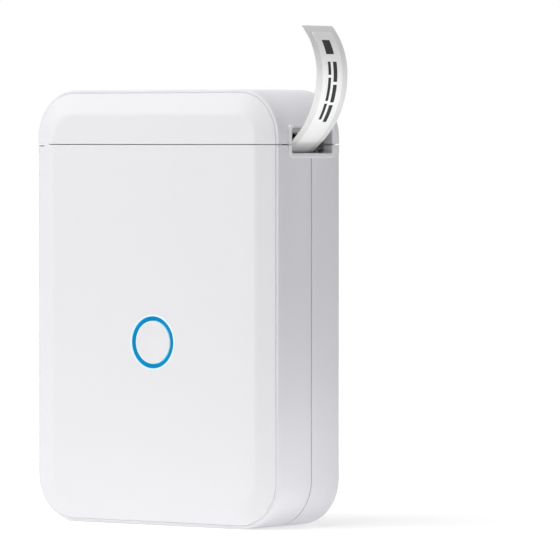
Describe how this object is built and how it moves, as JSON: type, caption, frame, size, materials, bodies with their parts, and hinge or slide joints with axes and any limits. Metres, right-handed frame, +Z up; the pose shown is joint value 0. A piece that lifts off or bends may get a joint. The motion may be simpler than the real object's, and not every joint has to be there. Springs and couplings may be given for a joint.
{
  "type": "thermal label printer",
  "caption": "Upright pocket thermal label printer with a hinged lid, lit ring button and a label strip leaving a side outlet.",
  "frame": {"origin": "middle of the base, on the surface that the printer stands on", "axes": "+Z up, +X to the outlet side, -Y towards the front panel and its button"},
  "size_m": [0.098, 0.0321, 0.146],
  "materials": {
    "case_white": "fine satin moulded texture",
    "panel_white": "smooth satin",
    "button_white": "smooth satin",
    "ring_blue": "translucent light guide, lit blue",
    "bezel_white": "polished",
    "chassis_black": "moulded, dull",
    "label_paper": "coated thermal paper",
    "liner_paper": "glassine liner",
    "core_grey": "moulded",
    "spindle_white": "acetal, slightly waxy",
    "platen_rubber": "ground silicone rubber",
    "shaft_steel": "turned",
    "sheet_steel": "stamped, zinc plated",
    "screw_steel": "black oxide",
    "heat_sink_aluminium": "extruded",
    "head_ceramic": "glazed",
    "bush_bronze": "sintered bronze",
    "gear_acetal": "acetal",
    "pinion_brass": "hobbed",
    "motor_can": "nickel plated can",
    "board_green": "solder mask",
    "component_black": "moulded epoxy",
    "shield_tin": "tinned",
    "connector_cream": "nylon",
    "led_lens": "clear epoxy",
    "battery_foil": "laminated foil pouch",
    "pad_foam": "closed-cell foam",
    "wire_red": "wire insulation",
    "wire_grey": "wire insulation"
  },
  "bodies": {
    "body": {"front_housing": "case_white", "rear_housing": "case_white", "front_panel": "panel_white", "light_ring": "ring_blue", "outlet_bezel_lower": "bezel_white", "chassis": "chassis_black", "chassis_screws": "screw_steel", "housing_screws": "screw_steel", "main_board": "board_green", "board_screws": "screw_steel", "tact_switch": "component_black", "ring_leds": "led_lens", "radio_module": "shield_tin", "board_chips": "component_black", "board_connectors": "connector_cream", "usb_socket": "sheet_steel", "battery": "battery_foil", "battery_pad": "pad_foam", "battery_lead": "wire_red", "stepper_motor": "motor_can", "motor_screws": "screw_steel", "motor_lead": "wire_grey", "idler_stud": "shaft_steel", "head_pivot_pin": "shaft_steel", "head_spring": "sheet_steel", "gap_sensor": "component_black", "hinge_pin": "shaft_steel", "label_strip": "liner_paper", "labels": "label_paper"},
    "lid": {"lid_shell": "case_white", "lid_front_panel": "panel_white", "outlet_bezel_upper": "bezel_white", "lid_frame": "chassis_black", "lid_frame_screws": "screw_steel", "platen_bushes": "bush_bronze", "tear_bar": "sheet_steel"},
    "platen": {"platen_shaft": "shaft_steel", "platen_roller": "platen_rubber", "platen_gear": "gear_acetal"},
    "idler": {"idler_gear": "gear_acetal"},
    "motor_rotor": {"motor_shaft": "shaft_steel", "motor_pinion": "pinion_brass"},
    "head": {"print_head": "head_ceramic", "heat_sink": "heat_sink_aluminium", "head_bracket": "sheet_steel"},
    "roll": {"roll_core": "core_grey", "label_roll": "liner_paper", "roll_spindle": "spindle_white"},
    "button": {"power_button": "button_white", "switch_plunger": "component_black"}
  },
  "joints": [
    {"name": "lid_hinge", "type": "hinge", "parent": "body", "child": "lid", "pos_m": [-0.0427, 0, 0.11475], "axis": [0, -1, 0], "range_deg": [0, 95]},
    {"name": "roll_spin", "type": "hinge", "parent": "body", "child": "roll", "pos_m": [-0.0134, 0, 0.09147], "axis": [0, 1, 0], "continuous": true},
    {"name": "platen_spin", "type": "hinge", "parent": "lid", "child": "platen", "pos_m": [0.03337, 0, 0.11041], "axis": [0, 1, 0], "continuous": true},
    {"name": "idler_spin", "type": "hinge", "parent": "body", "child": "idler", "pos_m": [0.0324, 0, 0.0994], "axis": [0, 1, 0], "continuous": true},
    {"name": "motor_spin", "type": "hinge", "parent": "body", "child": "motor_rotor", "pos_m": [0.03421, 0, 0.088], "axis": [0, 1, 0], "continuous": true},
    {"name": "head_pivot", "type": "hinge", "parent": "body", "child": "head", "pos_m": [0.03007, 0, 0.09723], "axis": [0, 1, 0], "range_deg": [0, 3], "stiffness_Nm_per_rad": 0.05, "springref_deg": -5.73, "deforming": ["head_spring"]},
    {"name": "power_button_press", "type": "slide", "parent": "body", "child": "button", "axis": [0, 1, 0], "range_m": [0, 0.00045], "stiffness_N_per_m": 400, "springref_m": -0.0002}
  ],
  "couplings": [
    {"joint": "platen_spin", "follows": "roll_spin", "ratio": 4.1},
    {"joint": "idler_spin", "follows": "roll_spin", "ratio": -4.92},
    {"joint": "motor_spin", "follows": "roll_spin", "ratio": 13.94}
  ]
}
